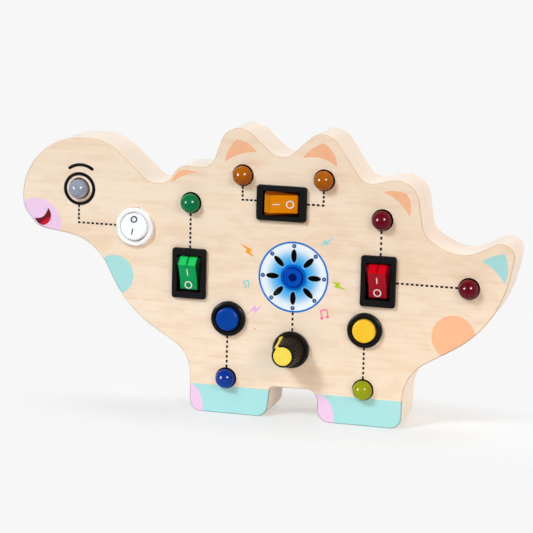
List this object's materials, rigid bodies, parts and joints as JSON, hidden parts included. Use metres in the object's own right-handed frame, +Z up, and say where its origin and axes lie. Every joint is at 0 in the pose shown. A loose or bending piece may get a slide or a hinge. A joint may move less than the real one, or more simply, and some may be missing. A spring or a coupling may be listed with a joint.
{
  "type": "wooden busy board",
  "caption": "Dinosaur-shaped plywood busy board with rocker switches, push buttons, a turning knob, dome lamps, a sound disc and a battery box at the back.",
  "frame": {"origin": "middle of the bounding box in plan, at the underside of the feet", "axes": "+X to the viewer's right along the board, +Y from the printed front to the back, +Z up"},
  "size_m": [0.213, 0.0404, 0.1222],
  "materials": {
    "printed_ply": "pale plywood face, satin, with a coloured print",
    "core_ply": "pale plywood edge, smooth sanded",
    "back_ply": "pale plywood, smooth sanded",
    "black_plastic": "moulded black, semi-gloss",
    "green_rocker_plastic": "moulded green, gloss",
    "amber_rocker_plastic": "moulded orange, gloss",
    "red_rocker_plastic": "moulded red, gloss",
    "white_plastic": "moulded white, gloss",
    "blue_cap_plastic": "moulded blue, gloss",
    "yellow_cap_plastic": "moulded yellow, gloss",
    "yellow_insert": "moulded yellow, satin",
    "knob_plastic": "moulded black, gloss",
    "clear_grey_lens": "cast epoxy, translucent grey-blue",
    "green_lens": "cast epoxy, translucent green",
    "amber_lens": "cast epoxy, translucent yellow",
    "red_lens": "cast epoxy, translucent red",
    "blue_lens": "cast epoxy, translucent blue",
    "lime_lens": "cast epoxy, translucent lime",
    "disc_lens_plastic": "moulded blue, translucent",
    "circuit_board": "green laminate",
    "chip_white": "white package",
    "speaker_grey": "dark moulded speaker",
    "steel": "plated steel",
    "spring_steel": "bright spring wire",
    "tinned_brass": "tinned brass",
    "screw_steel": "zinc-plated steel",
    "white_moulding": "moulded off-white, satin",
    "cell_jacket": "plain printed cell jacket"
  },
  "bodies": {
    "board": {"front_panel": "printed_ply", "core_frame": "core_ply", "back_panel": "back_ply", "back_panel_screws": "screw_steel", "lamp_eye": "clear_grey_lens", "lamp_green": "green_lens", "lamp_amber_left": "amber_lens", "lamp_amber_right": "amber_lens", "lamp_red_top": "red_lens", "lamp_red_tail": "red_lens", "lamp_blue": "blue_lens", "lamp_lime": "lime_lens", "lamp_leads": "tinned_brass", "green_switch_housing": "black_plastic", "green_switch_terminals": "tinned_brass", "amber_switch_housing": "black_plastic", "amber_switch_terminals": "tinned_brass", "red_switch_housing": "black_plastic", "red_switch_terminals": "tinned_brass", "white_switch_housing": "white_plastic", "white_switch_terminals": "tinned_brass", "blue_button_housing": "black_plastic", "blue_button_spring": "spring_steel", "blue_button_nut": "black_plastic", "blue_button_terminals": "tinned_brass", "yellow_button_housing": "black_plastic", "yellow_button_spring": "spring_steel", "yellow_button_nut": "black_plastic", "yellow_button_terminals": "tinned_brass", "disc_lens": "disc_lens_plastic", "disc_lamp": "chip_white", "sound_board": "circuit_board", "sound_board_screws": "screw_steel", "speaker": "speaker_grey", "potentiometer_body": "steel", "potentiometer_nut": "steel", "potentiometer_washer": "steel", "potentiometer_lugs": "tinned_brass", "battery_box": "white_moulding", "battery_box_screws": "screw_steel", "batteries": "cell_jacket", "battery_springs": "spring_steel", "battery_plates": "tinned_brass"},
    "green_rocker": {"green_switch_rocker": "green_rocker_plastic"},
    "amber_rocker": {"amber_switch_rocker": "amber_rocker_plastic"},
    "red_rocker": {"red_switch_rocker": "red_rocker_plastic"},
    "white_rocker": {"white_switch_rocker": "white_plastic"},
    "blue_cap": {"blue_button_cap": "blue_cap_plastic"},
    "yellow_cap": {"yellow_button_cap": "yellow_cap_plastic"},
    "knob_group": {"knob": "knob_plastic", "knob_pointer": "yellow_insert", "potentiometer_shaft": "steel"},
    "battery_door_group": {"battery_door": "white_moulding", "battery_door_screws": "screw_steel"}
  },
  "joints": [
    {"name": "green_rocker_tilt", "type": "hinge", "parent": "board", "child": "green_rocker", "pos_m": [-0.0311, -0.0043, 0.0595], "axis": [-1, 0, 0], "range_deg": [0, 40]},
    {"name": "amber_rocker_tilt", "type": "hinge", "parent": "board", "child": "amber_rocker", "pos_m": [0.0084, -0.0043, 0.0919], "axis": [0, 0, -1], "range_deg": [0, 40]},
    {"name": "red_rocker_tilt", "type": "hinge", "parent": "board", "child": "red_rocker", "pos_m": [0.0504, -0.0043, 0.0621], "axis": [-1, 0, 0], "range_deg": [0, 40]},
    {"name": "white_rocker_tilt", "type": "hinge", "parent": "board", "child": "white_rocker", "pos_m": [-0.0555, -0.0056, 0.0778], "axis": [1, 0, 0], "range_deg": [0, 28]},
    {"name": "blue_cap_press", "type": "slide", "parent": "board", "child": "blue_cap", "axis": [0, 1, 0], "range_m": [0, 0.002], "stiffness_N_per_m": 300, "springref_m": -0.002, "deforming": ["blue_button_spring"]},
    {"name": "yellow_cap_press", "type": "slide", "parent": "board", "child": "yellow_cap", "axis": [0, 1, 0], "range_m": [0, 0.002], "stiffness_N_per_m": 300, "springref_m": -0.002, "deforming": ["yellow_button_spring"]},
    {"name": "knob_turn", "type": "hinge", "parent": "board", "child": "knob_group", "pos_m": [0.0142, -0.0053, 0.0304], "axis": [0, 1, 0], "range_deg": [-120, 180]},
    {"name": "battery_door_lift", "type": "slide", "parent": "board", "child": "battery_door_group", "axis": [0, 1, 0], "range_m": [0, 0.02]}
  ]
}
